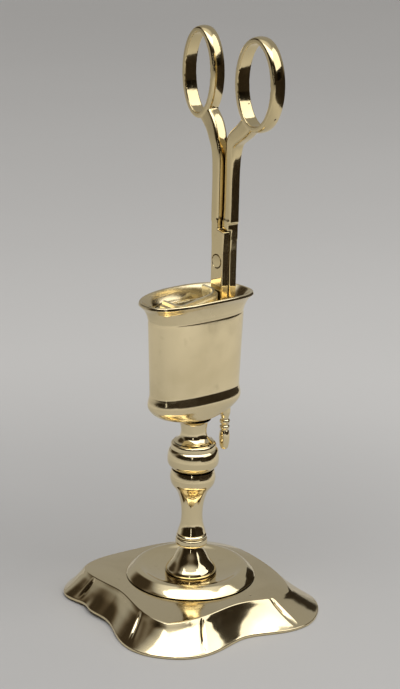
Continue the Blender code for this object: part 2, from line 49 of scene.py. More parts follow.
# ---- dimensions of the object ------------------------------------------------
LOBE_RADIUS = 47.8
SIDE_RADIUS = 36.4
LOBE_POWER = 2.8
BASE_TURN = -4.0               # degrees
RIDGE_LOBE = (36.8, 8.4)       # radius and height of the flank's top edge on a diagonal
RIDGE_SIDE = (29.6, 11.0)      # and at the middle of a side
RIDGE_POWER = 1.3
LOBE_BULGE = 0.4
CRISP_EDGE = (3.4, 1.6)        # the left and front lobes' top edge is this much further out and up
CRISP_LOBES = ((180.0, 30.0), (92.0, 24.0))  # their middles and widths in degrees
DENT = (4.0, 111.0, 8.5)       # depth, then middle and width in degrees from the back lobe
RIM_LIFT = (1.3, 122.0, 22.0)  # height, middle and width of the rim's bend upward
PLEAT_ANGLE = 18.0             # degrees either side of a lobe's middle
PLEAT_DEPTH = 0.8
DOME_RADIUS = 23.8
DECK_Z = 11.4
BASE_WALL = 2.2
BASE_STEPS = 480

BORE = 1.9
DOME_FOOT_Z = DECK_Z + GAP
COLLAR_Z = 23.3
KNOP_Z = 53.2
NECK_Z = 63.9
SOCKET_Z = 72.6
FLOOR_Z = 77.0
RIM_Z = 119.1
TIP_HOLE_RADIUS = 2.3
SOCKET_STEPS = 200

FRONT_FACE_X = 8.5
LAP = 3.15
REAR_FACE_X = FRONT_FACE_X + 2 * LAP + GAP
FRONT_X = (FRONT_FACE_X, FRONT_FACE_X + LAP)
REAR_X = (REAR_FACE_X - LAP, REAR_FACE_X)
MID_X = (FRONT_FACE_X + REAR_FACE_X) / 2
PIVOT_Z = 129.5
SHOULDER_RADIUS = 11.5
STUB_TOP = PIVOT_Z + 15
STUB_DEPTH = 1.6               # from the middle plane
LAP_HALF_WIDTH = 3.6
SHANK_POWER = 0.4              # exponent of the shank's rounded oblong section
RIVET_RADIUS = 2.4
RIVET_SEAM = 0.2               # gap round the pivot rivet
HOLE_GAP = 0.15                # gap round a small rivet and the tang
TANG_RADIUS = 0.6
LOOP_Z = 194.3
LOOP_HALF_HEIGHT = 16.4
LOOP_BAND = 2.3
LOOP_ROUND = 0.95              # depth of the band's rounded outer side
LOOP_STEPS = 160
LOOP_HALF_DEPTH = 2.7
LEFT_LOOP = (14.2, 9.5)        # centre Y and outer half width
RIGHT_LOOP = (-16.9, 10.9)
TOE_TOP = 79.3
TIP_X = 12.7
TIP_Y = -1.9
TIP_END_Z = 58.2

BOX_LEFT_X = -12.2
BOX_RIGHT_X = FRONT_FACE_X - GAP
BOX_FRONT_Y = -5.7
BOX_MOUTH_Y = 0.9
BOX_COLLAR_Y = 5.2
BOX_WALL = 1.2
BOX_LIP = 2.0
BOX_CORNER = 4.0
BOX_ROUND = 6.4                # the corner by the arm is worn rounder
BOX_BOTTOM_Z = 84.0
BOX_COLLAR_Z = 109.2
BOX_TOP_Z = 118.4
BOX_TILT = 0.18
BOX_RIVETS = (-0.6, (91.0, 103.0), 0.8)    # Y, heights and radius
PRESS_RIVETS = (13.4, (92.0, 101.0), 0.6)  # X, heights and radius

EDGE = 0.12                    # bevel on cut edges
VOXEL = 0.26
POLISH_ROUNDS = 5
WAVE_DEPTH = 0.0001            # metres; the bump distance that waves are a share of


# ---- mesh helpers --------------------------------------------------------------
def place_mesh(name, bm, sharp=35.0):
    bmesh.ops.recalc_face_normals(bm, faces=bm.faces[:])
    mesh = bpy.data.meshes.new(name)
    bm.to_mesh(mesh)
    bm.free()
    mesh.shade_smooth()
    mesh.set_sharp_from_angle(angle=math.radians(sharp))
    item = bpy.data.objects.new(name, mesh)
    bpy.context.scene.collection.objects.link(item)
    return item


def loft_into(bm, rings, closed):
    """Skin rings of equal length; closed joins the last ring to the first."""
    loops = [[bm.verts.new(Vector(point) * MM) for point in ring] for ring in rings]
    pairs = list(zip(loops, loops[1:]))
    if closed:
        pairs.append((loops[-1], loops[0]))
    for low, high in pairs:
        count = len(low)
        for k in range(count):
            bm.faces.new((low[k], low[(k + 1) % count], high[(k + 1) % count], high[k]))
    if not closed:
        bm.faces.new(loops[0])
        bm.faces.new(loops[-1])


def loft(name, rings, closed, sharp=35.0):
    bm = bmesh.new()
    loft_into(bm, rings, closed)
    return place_mesh(name, bm, sharp)


def spline(points, steps):
    """Catmull-Rom curve through points of any dimension."""
    padded = [points[0]] + list(points) + [points[-1]]
    result = []
    for p0, p1, p2, p3 in zip(padded, padded[1:], padded[2:], padded[3:]):
        for k in range(steps):
            t = k / steps
            result.append(tuple(
                0.5 * (2 * b + (c - a) * t + (2 * a - 5 * b + 4 * c - d) * t ** 2
                       + (3 * b - a - 3 * c + d) * t ** 3)
                for a, b, c, d in zip(p0, p1, p2, p3)))
    return result + [tuple(points[-1])]


def arc(centre, radius, start, end, steps):
    points = []
    for k in range(steps + 1):
        angle = math.radians(start + (end - start) * k / steps)
        points.append((centre[0] + radius * math.cos(angle), centre[1] + radius * math.sin(angle)))
    return points


def turned(name, profile, steps=144, centre=(0, 0)):
    """Lathe a closed profile of (radius, z); a radius of 0 lies on the axis."""
    rings = []
    for r, z in profile:
        radius = max(r, 0.02)
        rings.append([(centre[0] + radius * math.cos(math.tau * k / steps),
                       centre[1] + radius * math.sin(math.tau * k / steps), z)
                      for k in range(steps)])
    on_axis = profile[0][0] == 0 and profile[-1][0] == 0
    return loft(name, rings, not on_axis)


def cylinder_into(bm, axis, radius, start, end, place, steps=48):
    turn = {"X": Matrix.Rotation(math.pi / 2, 4, "Y"), "Y": Matrix.Rotation(math.pi / 2, 4, "X"),
            "Z": Matrix.Identity(4)}[axis]
    centre = list(place)
    centre["XYZ".index(axis)] = (start + end) / 2
    bmesh.ops.create_cone(bm, cap_ends=True, segments=steps, radius1=radius * MM, radius2=radius * MM,
                          depth=(end - start) * MM,
                          matrix=Matrix.Translation(Vector(centre) * MM) @ turn)


def settle(item):
    """Apply the modifiers of a piece to its mesh."""
    bpy.context.view_layer.update()
    evaluated = item.evaluated_get(bpy.context.evaluated_depsgraph_get())
    mesh = bpy.data.meshes.new_from_object(evaluated)
    old = item.data
    item.modifiers.clear()
    item.data = mesh
    bpy.data.meshes.remove(old)


def cut(item, fill):
    """Subtract what fill(bm) draws from the piece."""
    bm = bmesh.new()
    fill(bm)
    tool = place_mesh(f"{item.name}_cutter", bm)
    modifier = item.modifiers.new("cut", "BOOLEAN")
    modifier.object = tool
    settle(item)
    mesh = tool.data
    bpy.data.objects.remove(tool)
    bpy.data.meshes.remove(mesh)
    return item


def soften(item):
    """Fuse overlapping solids and round their edges as polishing does."""
    remesh = item.modifiers.new("fuse", "REMESH")
    remesh.mode = "VOXEL"
    remesh.voxel_size = VOXEL * MM
    smooth = item.modifiers.new("polish", "SMOOTH")
    smooth.factor = 0.5
    smooth.iterations = POLISH_ROUNDS
    settle(item)
    item.data.shade_smooth()
    return item


def add_bevel(item, segments, angle):
    bevel = item.modifiers.new("edge", "BEVEL")
    bevel.width = EDGE * MM
    bevel.segments = segments
    bevel.limit_method = "ANGLE"
    bevel.angle_limit = math.radians(angle)


def bevelled(item):
    add_bevel(item, 3, 40.0)
    settle(item)
    item.data.shade_smooth()
    item.data.set_sharp_from_angle(angle=math.radians(60))
    return item


# ---- materials -----------------------------------------------------------------
class Graph:
    """Short calls for the nodes of a material or of the world."""

    def __init__(self, owner, shader="Principled BSDF", coords="Object"):
        owner.use_nodes = True
        self.tree = owner.node_tree
        self.shader = self.tree.nodes[shader]
        self.coords = self.tree.nodes.new("ShaderNodeTexCoord").outputs[coords]

    def link(self, source, socket):
        self.tree.links.new(source, socket)

    def mapped(self, scale, turn=(0, 0, 0)):
        node = self.tree.nodes.new("ShaderNodeMapping")
        node.inputs["Scale"].default_value = scale
        node.inputs["Rotation"].default_value = turn
        self.link(self.coords, node.inputs["Vector"])
        return node.outputs["Vector"]

    def noise(self, scale, detail=4.0, vector=None, distortion=0.0):
        node = self.tree.nodes.new("ShaderNodeTexNoise")
        node.inputs["Scale"].default_value = scale
        node.inputs["Detail"].default_value = detail
        node.inputs["Distortion"].default_value = distortion
        self.link(vector or self.coords, node.inputs["Vector"])
        return node.outputs["Fac"]

    def against(self, operation, vector):
        """Distance of the coordinates from a fixed vector, or their dot product with it."""
        node = self.tree.nodes.new("ShaderNodeVectorMath")
        node.operation = operation
        node.inputs[1].default_value = vector
        self.link(self.coords, node.inputs[0])
        return node.outputs["Value"]

    def ramp(self, value, low, high, out_low=0.0, out_high=1.0):
        """Smooth step from out_low to out_high as the value goes from low to high."""
        node = self.tree.nodes.new("ShaderNodeMapRange")
        node.interpolation_type = "SMOOTHSTEP"
        for socket, number in (("From Min", low), ("From Max", high), ("To Min", out_low),
                               ("To Max", out_high)):
            node.inputs[socket].default_value = number
        self.link(value, node.inputs["Value"])
        return node.outputs["Result"]

    def maths(self, operation, first, second):
        node = self.tree.nodes.new("ShaderNodeMath")
        node.operation = operation
        for socket, value in zip(node.inputs, (first, second)):
            if isinstance(value, float):
                socket.default_value = value
            else:
                self.link(value, socket)
        return node.outputs["Value"]

    def mix(self, factor, first, second):
        """Mix two colours; each is a colour or a socket."""
        node = self.tree.nodes.new("ShaderNodeMix")
        node.data_type = "RGBA"
        self.link(factor, node.inputs[0])
        for socket, value in ((node.inputs[6], first), (node.inputs[7], second)):
            if isinstance(value, tuple):
                socket.default_value = (*value, 1.0)
            else:
                self.link(value, socket)
        return node.outputs[2]

    def pits(self, scale, size, share):
        """A few small round pits: 1 inside a pit."""
        node = self.tree.nodes.new("ShaderNodeTexVoronoi")
        node.inputs["Scale"].default_value = scale
        self.link(self.coords, node.inputs["Vector"])
        spots = self.ramp(node.outputs["Distance"], size * 0.5, size, 1.0, 0.0)
        parts = self.tree.nodes.new("ShaderNodeSeparateColor")
        self.link(node.outputs["Color"], parts.inputs["Color"])
        chosen = self.maths("GREATER_THAN", parts.outputs[0], 1.0 - share)
        return self.maths("MULTIPLY", spots, chosen)

    def crevice_shade(self, reach):
        """Painted shade: 1 in grooves, seams and creases, where the parts round them keep light out."""
        node = self.tree.nodes.new("ShaderNodeAmbientOcclusion")
        node.samples = 6
        node.inputs["Distance"].default_value = reach
        return self.ramp(node.outputs["AO"], 0.35, 0.8, 1.0, 0.0)

    def bump(self, height, distance, strength=1.0):
        node = self.tree.nodes.new("ShaderNodeBump")
        node.inputs["Strength"].default_value = strength
        node.inputs["Distance"].default_value = distance
        self.link(height, node.inputs["Height"])
        self.link(node.outputs["Normal"], self.shader.inputs["Normal"])


def brass(name, colour, tarnish, stain=0.35, rough=0.12, waves=0.00002, pit_share=0.12):
    """Polished old brass: tarnish in patches, hairline scratches, pits, uneven polish and painted shade
    in its crevices.
    """
    material = bpy.data.materials.new(name)
    graph = Graph(material)
    patches = graph.ramp(graph.noise(38.0, 5.0, distortion=0.6), 0.42, 0.72, 0.0, stain)
    specks = graph.ramp(graph.noise(420.0, 6.0), 0.56, 0.78, 0.0, stain * 0.7)
    pits = graph.pits(150.0, 0.075, pit_share)
    hair_a = graph.ramp(graph.noise(1.0, 2.0, graph.mapped((90, 2600, 160), (0.3, 0.2, 0.5))),
                        0.66, 0.74)
    hair_b = graph.ramp(graph.noise(1.0, 2.0, graph.mapped((2200, 120, 90), (0.1, 0.6, -0.4))),
                        0.68, 0.76)
    hairs = graph.maths("MAXIMUM", hair_a, hair_b)
    stained = graph.mix(graph.maths("MAXIMUM", patches, specks), colour, tarnish)
    dark = tuple(channel * 0.35 for channel in tarnish)
    # painted shade: the brass is darkened in grooves, seams and creases, as it is in the real pits
    painted_shade = graph.maths("MULTIPLY", graph.crevice_shade(0.0009), 0.85)
    graph.link(graph.mix(graph.maths("MAXIMUM", pits, painted_shade), stained, dark),
               graph.shader.inputs["Base Color"])
    graph.shader.inputs["Metallic"].default_value = 1.0
    uneven = graph.ramp(graph.noise(95.0, 5.0), 0.3, 0.7, rough * 0.65, rough * 1.35)
    worn = graph.maths("ADD", uneven, graph.maths("MULTIPLY", hairs, 0.10))
    graph.link(graph.maths("ADD", worn, graph.maths("MULTIPLY", pits, 0.35)),
               graph.shader.inputs["Roughness"])
    wave = graph.maths("MULTIPLY", graph.noise(120.0, 3.0), waves / WAVE_DEPTH)
    scratched = graph.maths("SUBTRACT", wave, graph.maths("MULTIPLY", hairs, 0.02))
    graph.bump(graph.maths("SUBTRACT", scratched, graph.maths("MULTIPLY", pits, 1.2)), WAVE_DEPTH)
    return material


def steel(name):
    """Dulled iron with a brushed grain and a little rust."""
    material = bpy.data.materials.new(name)
    graph = Graph(material)
    rust = graph.ramp(graph.noise(260.0, 6.0), 0.52, 0.7, 0.0, 0.6)
    graph.link(graph.mix(rust, (0.42, 0.41, 0.39), (0.20, 0.11, 0.06)),
               graph.shader.inputs["Base Color"])
    graph.shader.inputs["Metallic"].default_value = 1.0
    grain = graph.noise(1.0, 3.0, graph.mapped((1800, 1800, 90)))
    graph.link(graph.ramp(grain, 0.3, 0.7, 0.3, 0.5), graph.shader.inputs["Roughness"])
    graph.bump(grain, 0.00003)
    return material


GOLD = (0.865, 0.735, 0.465)
BROWN = (0.46, 0.36, 0.18)
MATERIALS = {
    "cast_brass": brass("cast_brass", GOLD, BROWN, stain=0.22, rough=0.11, waves=0.000025),
    "turned_brass": brass("turned_brass", (0.905, 0.77, 0.485), BROWN, stain=0.18, rough=0.08,
                          waves=0.000008, pit_share=0.05),
    # painted light: the socket's brass is mixed lighter than the cast brass to offset the darker floor
    # that it reflects; its stains are its own
    "socket_brass_painted_lighter": brass("socket_brass_painted_lighter", (0.93, 0.79, 0.50), BROWN, stain=0.32, rough=0.15,
                          waves=0.00002, pit_share=0.1),
    "forged_brass": brass("forged_brass", (0.78, 0.645, 0.37), BROWN, stain=0.30, rough=0.10,
                          waves=0.00002, pit_share=0.22),
    "sheet_brass": brass("sheet_brass", (0.98, 0.89, 0.62), (0.52, 0.36, 0.15), stain=0.5,
                         rough=0.42, waves=0.00004, pit_share=0.25),
    "dull_brass": brass("dull_brass", (0.52, 0.40, 0.21), (0.22, 0.15, 0.07), stain=0.7, rough=0.36,
                        waves=0.00004, pit_share=0.3),
    "steel_rod": steel("steel_rod"),
}


def finished(item, body, slot, replaced, material=None, inner=None, is_inner=None):
    """Give a piece its material and body, and hide the CAD node that it stands for; the slot names the
    material when none is given.
    """
    item.data.materials.clear()
    item.data.materials.append(MATERIALS[material or slot])
    if inner:
        item.data.materials.append(MATERIALS[inner])
        for face in item.data.polygons:
            face.material_index = 1 if is_inner(face.center / MM, face.normal) else 0
    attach(item, body)
    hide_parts(replaced)


# ---- foot ------------------------------------------------------------------------
def bell_curve(value, centre, width):
    return math.exp(-((value - centre) / width) ** 2)


def foot_shape(step):
    """Bottom radius, ridge radius, ridge height, angle off the diagonal, rim lift and pleat."""
    degrees = step * 360 / BASE_STEPS
    off = (degrees + 45) % 90 - 45
    dip = abs(math.sin(math.radians(2 * off)))
    bottom = LOBE_RADIUS - (LOBE_RADIUS - SIDE_RADIUS) * dip ** LOBE_POWER
    ridge, top = (a + (b - a) * dip ** RIDGE_POWER for a, b in zip(RIDGE_LOBE, RIDGE_SIDE))
    # the left and front lobes were filed to a crisper and higher edge than the other two
    crisp = max(bell_curve(degrees, *lobe) for lobe in CRISP_LOBES)
    ridge += CRISP_EDGE[0] * crisp
    top += CRISP_EDGE[1] * crisp
    # the casting was bent up and drawn in a little between its left and front lobes
    bottom -= DENT[0] * bell_curve(degrees, *DENT[1:])
    lift = RIM_LIFT[0] * bell_curve(degrees, *RIM_LIFT[1:])
    fold = abs(off) - PLEAT_ANGLE
    pleat = PLEAT_DEPTH * (0.35 * bell_curve(fold, -2.0, 1.5) - bell_curve(fold, 0.0, 0.7))
    return bottom, ridge, top, off, lift, pleat


FOOT_SHAPES = [foot_shape(step) for step in range(BASE_STEPS)]


def at_step(radius, step, z):
    angle = math.radians(45 + step * 360 / BASE_STEPS + BASE_TURN)
    return (radius * math.cos(angle), radius * math.sin(angle), z)


def flank_ring(share, height, inset=0.0):
    ring = []
    for step, (bottom, ridge, top, off, lift, pleat) in enumerate(FOOT_SHAPES):
        radius = ridge + (bottom - ridge) * share - inset
        radius += LOBE_BULGE * math.cos(math.radians(2 * off)) ** 2 * math.sin(math.pi * height) ** 2
        if inset == 0:
            radius += pleat * math.sin(math.pi * min(1.0, 1.15 * (1 - height)))
        ring.append(at_step(radius, step, lift + (top - lift) * height))
    return ring


def deck_ring(blend, drop=0.0, inset=0.0):
    ring = []
    for step, (_, ridge, top, _, _, _) in enumerate(FOOT_SHAPES):
        radius = ridge - inset + (DOME_RADIUS - ridge + inset) * blend
        rise = (DECK_Z - top) * math.sin(math.pi / 2 * blend)
        ring.append(at_step(radius, step, top + rise - drop))
    return ring


def round_ring(radius, z):
    return [at_step(radius, step, z) for step in range(BASE_STEPS)]


def foot():
    flank = spline([(0.985, 0.10), (0.90, 0.155), (0.66, 0.33), (0.42, 0.53), (0.20, 0.76),
                    (0.08, 0.91), (0.02, 0.98)], 5)
    rings = [flank_ring(0.985, 0.0), flank_ring(1.0, 0.015), flank_ring(1.0, 0.075)]
    rings += [flank_ring(share, height) for share, height in flank]
    rings += [deck_ring(blend) for blend in (0.03, 0.06, 0.12, 0.25, 0.45, 0.7, 1.0)]
    rings += [round_ring(BORE, DECK_Z), round_ring(BORE, DECK_Z - BASE_WALL)]
    rings += [deck_ring(1.0, BASE_WALL), deck_ring(0.5, BASE_WALL), deck_ring(0.1, BASE_WALL, 1.2)]
    rings += [flank_ring(share, height, 2.3) for share, height in
              spline([(0.3, 0.75), (0.55, 0.55), (0.72, 0.3), (0.80, 0.12)], 3)]
    rings += [flank_ring(0.82, 0.0, 2.2)]
    item = loft("foot_plate", rings, True, sharp=50)
    finished(item, "stand_body", "cast_brass", "base_plate", inner="dull_brass",
             is_inner=lambda place, normal: normal.z < -0.35 and place.z > 0.4)


# ---- turned stem -------------------------------------------------------------------
def turned_stem():
    dome = [(BORE, 12.75)] + spline([(9.4, 12.75), (10.6, 12.9), (13.0, 13.3), (16.2, 14.0),
                                     (18.4, 14.85), (19.4, 15.0), (20.6, 14.65), (22.0, 13.6),
                                     (23.2, 12.5), (23.75, 11.85)], 8)
    dome += [(23.7, DOME_FOOT_Z), (BORE, DOME_FOOT_Z)]
    foot_low = DOME_FOOT_Z + 1.1
    bell = spline([(4.1, COLLAR_Z - GAP), (4.5, 21.8), (5.9, 19.2), (7.0, 17.2), (8.1, 15.6),
                   (9.0, 14.4), (9.3, 13.7), (9.2, 13.1), (9.0, 12.85)], 9)
    pear = spline([(7.75, KNOP_Z - GAP), (7.95, 52.2), (8.15, 51.3), (8.28, 50.4), (8.3, 49.4),
                   (7.7, 47.3), (5.6, 44.2), (4.3, 40.0), (3.9, 36.0), (4.0, 33.2), (4.3, 31.2),
                   (4.8, 29.5), (5.25, 28.0)], 8)
    collar = spline([(5.1, 27.65), (5.5, 27.2), (5.55, 26.7), (5.3, 26.3)], 5)
    collar += spline([(5.35, 26.25), (5.75, 25.9), (5.9, 24.6), (5.7, 23.7), (4.6, COLLAR_Z)], 5)
    ball = spline([(8.1, 61.25), (8.35, 61.1), (8.85, 60.45), (9.12, 59.6), (9.32, 58.4), (9.42, 57.0),
                   (9.1, 55.2), (7.4, KNOP_Z)], 8)
    top_bead = spline([(7.3, NECK_Z - GAP), (7.95, 63.15), (8.2, 62.5), (8.25, 61.3)], 6)
    neck = spline([(6.2, SOCKET_Z - GAP), (5.3, 71.2), (4.75, 69.0), (4.7, 67.2), (5.1, 65.6),
                   (6.1, 64.5), (7.2, NECK_Z)], 8)
    for name, outer, replaced in (("stem_bell", bell + [(8.2, foot_low)], "stem_foot"),
                                  ("stem_vase", pear + collar, "stem_baluster"),
                                  ("stem_ball", top_bead + ball, "stem_knop"),
                                  ("stem_throat", neck, "stem_neck")):
        profile = outer + [(BORE, outer[-1][1]), (BORE, outer[0][1])]
        finished(turned(name, profile), "stand_body", "turned_brass", replaced)
    finished(turned("foot_dome", dome, steps=200), "stand_body", "turned_brass", "base_dome")


# ---- socket ----------------------------------------------------------------------
def oval_ring(half_x, half_y, z, power, sag):
    """Level squarish oval whose two far ends hang lower by the sag."""
    ring = []
    for k in range(SOCKET_STEPS):
        angle = math.tau * k / SOCKET_STEPS
        c, s = math.cos(angle), math.sin(angle)
        x = half_x * math.copysign(abs(c) ** (2 / power), c)
        y = half_y * math.copysign(abs(s) ** (2 / power), s)
        ring.append((x, y, z - sag * (x / half_x) ** 2))
    return ring


def socket():
    under = spline([(5.8, 5.4, SOCKET_Z, 2, 0), (10.6, 6.4, 73.5, 2.2, 0), (15.0, 7.1, 75.0, 2.4, 0),
                    (17.5, 7.9, 76.8, 2.5, 0), (18.8, 8.75, 78.6, 2.5, 0), (19.05, 9.0, 80.4, 2.5, 0),
                    (18.6, 8.45, 82.8, 2.5, 0), (18.5, 8.3, 84.6, 2.5, 0), (18.8, 8.4, 93.0, 2.5, 0),
                    (19.15, 8.52, 102.0, 2.5, 0), (19.5, 8.62, 110.2, 2.5, 0)], 6)
    groove = spline([(19.5, 8.62, 110.6, 2.5, 0), (19.47, 8.6, 111.1, 2.5, 0),
                     (19.5, 8.68, 111.5, 2.5, 0), (19.62, 8.82, 111.9, 2.5, 0)], 4)
    flare = spline([(19.65, 8.85, 112.0, 2.5, 0), (20.1, 9.3, 113.8, 2.5, 0.3),
                    (21.1, 10.3, 116.0, 2.5, 0.7), (22.3, 11.5, 117.5, 2.5, 1),
                    (22.75, 11.95, 118.0, 2.5, 1), (22.8, 12.0, 118.2, 2.5, 1),
                    (22.62, 11.82, 118.8, 2.5, 1), (22.4, 11.6, 119.05, 2.5, 1),
                    (22.0, 11.2, RIM_Z, 2.5, 1), (21.4, 10.6, 118.7, 2.5, 1),
                    (20.0, 9.2, 117.0, 2.5, 0.8), (18.7, 8.0, 114.6, 2.5, 0.4),
                    (18.0, 7.3, 111.6, 2.5, 0), (17.1, 7.0, 92.0, 2.5, 0), (16.5, 6.7, 82.0, 2.5, 0),
                    (16.2, 6.5, 78.2, 2.5, 0)], 6)
    inner_floor = [(15.7, 6.2, FLOOR_Z, 2.5, 0), (6.0, 3.4, FLOOR_Z, 2.2, 0),
                   (BORE, BORE, FLOOR_Z, 2, 0)]
    sections = [(BORE, BORE, SOCKET_Z, 2, 0)] + under + groove + flare + inner_floor
    item = loft("socket", [oval_ring(*section) for section in sections], True, sharp=50)
    hole = ("Z", TIP_HOLE_RADIUS, SOCKET_Z - 5, FLOOR_Z + 1, (TIP_X, TIP_Y, 0))
    cut(item, lambda bm: cylinder_into(bm, *hole))

    def inside(place, _):
        return 76.5 < place.z < 117.5 and (place.x / 18.2) ** 2 + (place.y / 7.6) ** 2 < 1

    finished(item, "stand_body", "cast_brass", "socket_body", material="socket_brass_painted_lighter",
             inner="sheet_brass", is_inner=inside)


# ---- trimmer ------------------------------------------------------------------------
def mirrored(outline, side):
    return [(side * y, z) for y, z in outline]


def plate_into(bm, outline, x_low, x_high):
    loft_into(bm, [[(x, y, z) for y, z in outline] for x in (x_low, x_high)], closed=False)


def loop_into(bm, centre_y, half_width):
    """Oval finger loop: flat inside, rounded outside."""
    section = [(-1, -LOOP_BAND), (-1, -LOOP_ROUND)]
    section += [(math.cos(math.pi * (1 - k / 12)), -LOOP_ROUND + LOOP_ROUND * math.sin(math.pi * k / 12))
                for k in range(1, 12)]
    section += [(1, -LOOP_ROUND), (1, -LOOP_BAND), (0, -LOOP_BAND - 0.05)]
    rings = []
    for k in range(LOOP_STEPS):
        angle = math.tau * k / LOOP_STEPS
        out = Vector((0, math.cos(angle) / half_width, math.sin(angle) / LOOP_HALF_HEIGHT))
        out.normalize()
        point = Vector((MID_X, centre_y + half_width * math.cos(angle),
                        LOOP_Z + LOOP_HALF_HEIGHT * math.sin(angle)))
        rings.append([point + Vector((side * LOOP_HALF_DEPTH, 0, 0)) + out * depth
                      for side, depth in section])
    loft_into(bm, rings, closed=True)


def shank_into(bm, side, loop):
    """Sweep a rounded section from the loop down to the shoulder.

    Each shank stands a little toward the face that its own lap plate is on.
    """
    reach = abs(loop[0]) - 3.4
    stations = [(side * reach, 180.9, 3.3, 2.5, 0.0), (side * (reach - 3.6), 177.6, 3.1, 2.6, 0.2),
                (side * 4.5, 173.4, 2.7, 2.6, 0.6), (side * 2.75, 168.6, 2.3, 2.35, 0.95),
                (side * 2.25, 161.0, 2.05, 2.25, 1.05), (side * 2.25, 150.0, 2.05, 2.25, 1.05),
                (side * 2.25, STUB_TOP - 1, 2.05, 2.35, 0.95)]
    path = spline(stations, 10)
    rings = []
    for k, (y, z, wide, thick, lean) in enumerate(path):
        before = path[max(k - 1, 0)]
        after = path[min(k + 1, len(path) - 1)]
        along = Vector((0, after[0] - before[0], after[1] - before[1])).normalized()
        across = along.cross(Vector((1, 0, 0)))
        ring = []
        for step in range(40):
            angle = math.tau * (step + 0.5) / 40
            c, s = math.cos(angle), math.sin(angle)
            c = math.copysign(abs(c) ** SHANK_POWER, c)
            s = math.copysign(abs(s) ** SHANK_POWER, s)
            ring.append(Vector((MID_X - side * lean + thick * c, y, z)) + across * wide * s)
        rings.append(ring)
    loft_into(bm, rings, closed=False)


def lap_outline(side, below):
    start = math.degrees(math.acos(0.15 / SHOULDER_RADIUS))
    end = 180 - math.degrees(math.acos((LAP_HALF_WIDTH - 0.2) / SHOULDER_RADIUS))
    shoulder = arc((0, PIVOT_Z), SHOULDER_RADIUS, start, end, 14)
    upper = [(LAP_HALF_WIDTH - 0.3, PIVOT_Z + 6), (LAP_HALF_WIDTH - 0.05, SHOULDER_RADIUS + PIVOT_Z),
             (LAP_HALF_WIDTH, STUB_TOP), (0.3, STUB_TOP)]
    return mirrored(upper, side) + mirrored(shoulder, side) + below


def stub_outline(side):
    radius = SHOULDER_RADIUS + GAP
    start = math.degrees(math.acos(LAP_HALF_WIDTH / radius))
    end = math.degrees(math.acos(0.2 / radius))
    top = [(0.3, STUB_TOP), (LAP_HALF_WIDTH, STUB_TOP)]
    return mirrored(top + arc((0, PIVOT_Z), radius, start, end, 14), side)


def arm(name, side, loop, plate_x, stub_x, below, extra, holes):
    """Loop, shank, lap plate with blade and stub, fused and polished, then drilled."""
    bm = bmesh.new()
    plate_into(bm, lap_outline(side, below), *plate_x)
    plate_into(bm, stub_outline(side), *stub_x)
    shank_into(bm, side, loop)
    loop_into(bm, *loop)
    for low, high in extra:
        plate_into(bm, [(low[1], low[2]), (high[1], low[2]), (high[1], high[2]), (low[1], high[2])],
                   low[0], high[0])
    item = soften(place_mesh(name, bm))

    def drill(cutter):
        cylinder_into(cutter, "X", RIVET_RADIUS + RIVET_SEAM, FRONT_FACE_X - 5, REAR_FACE_X + 5,
                      (0, 0, PIVOT_Z))
        for hole in holes:
            cylinder_into(cutter, *hole, steps=24)

    return cut(item, drill)


def box_arm():
    below = [(-3.2, PIVOT_Z + 4), (-3.2, 116.5), (-3.2, 104.0), (-3.0, 84.0), (-3.0, FLOOR_Z + GAP),
             (0.3, FLOOR_Z + GAP), (0.5, 84.0), (BOX_MOUTH_Y, 90.0), (BOX_MOUTH_Y, 107.5),
             (3.2, 115.5), (3.2, PIVOT_Z + 4)]
    toe = ((FRONT_FACE_X + 1, -3.0, FLOOR_Z + GAP), (TIP_X + 1.2, 0.3, TOE_TOP))
    rivet_y, rivet_zs, radius = BOX_RIVETS
    holes = [("X", radius + HOLE_GAP, BOX_RIGHT_X - 5, FRONT_X[1] + 2, (0, rivet_y, z))
             for z in rivet_zs]
    holes.append(("Z", TANG_RADIUS + HOLE_GAP, FLOOR_Z - 5, TOE_TOP + 5, (TIP_X, TIP_Y, 0)))
    stub_x = (REAR_X[0], MID_X + STUB_DEPTH)
    item = arm("arm_with_box", 1, LEFT_LOOP, FRONT_X, stub_x, below, [toe], holes)
    finished(item, "box_body", "forged_brass", "box_arm")


def press_arm():
    below = [(3.2, PIVOT_Z + 4), (3.2, 116.5), (BOX_MOUTH_Y, 107.5), (BOX_MOUTH_Y, 88.0), (0.3, 80.1),
             (-2.6, 80.1), (-2.8, 88.0), (-3.0, 108.0), (-3.2, 116.5), (-3.2, PIVOT_Z + 4)]
    rivet_x, rivet_zs, radius = PRESS_RIVETS
    holes = [("Y", radius + HOLE_GAP, -1.6, BOX_MOUTH_Y + 2, (rivet_x, 0, z)) for z in rivet_zs]
    stub_x = (MID_X - STUB_DEPTH, FRONT_X[1])
    item = arm("arm_with_plate", -1, RIGHT_LOOP, REAR_X, stub_x, below, [], holes)
    finished(item, "press_body", "forged_brass", "press_arm")


def box_outline(outset, inset, arm_y):
    left_corner = (BOX_LEFT_X + BOX_CORNER, BOX_FRONT_Y + BOX_CORNER)
    right_corner = (BOX_RIGHT_X - BOX_ROUND, BOX_FRONT_Y + BOX_ROUND)
    runs = []
    for shift in (outset, inset):
        run = [(BOX_LEFT_X + shift, arm_y)] + arc(left_corner, BOX_CORNER - shift, 180, 270, 24)
        run += arc(right_corner, BOX_ROUND - shift, 270, 360, 24) + [(BOX_RIGHT_X - shift, arm_y)]
        runs.append(run)
    return runs[0] + runs[1][::-1]


